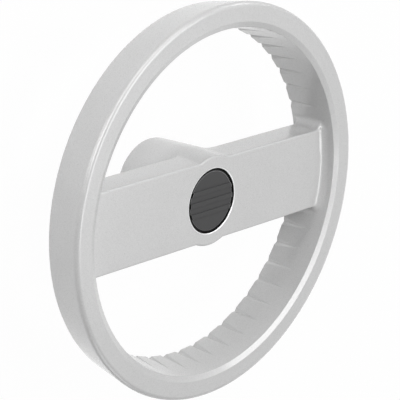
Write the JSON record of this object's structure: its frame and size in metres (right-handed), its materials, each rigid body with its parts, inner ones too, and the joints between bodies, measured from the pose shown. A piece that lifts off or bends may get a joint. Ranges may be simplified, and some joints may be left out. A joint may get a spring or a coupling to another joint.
{
  "type": "machine handwheel",
  "caption": "Machine handwheel: a round rim with finger grooves on its inner wall, carried by a flat crossbar with a capped hub and a keyed shaft bore, for turning a spindle by hand.",
  "frame": {"origin": "centre of the hub's rear face, on the shaft axis", "axes": "+Z along the shaft axis towards the wheel's front, +X along the crossbar towards the keyway's side"},
  "size_m": [0.16, 0.16, 0.041],
  "materials": {
    "coated_aluminium": "die-cast, with a fine silver-grey powder coat of satin sheen",
    "cap_plastic": "moulded dark grey plastic, matt"
  },
  "bodies": {
    "root": {"wheel_casting": "coated_aluminium", "cover_cap": "cap_plastic"}
  },
  "joints": []
}
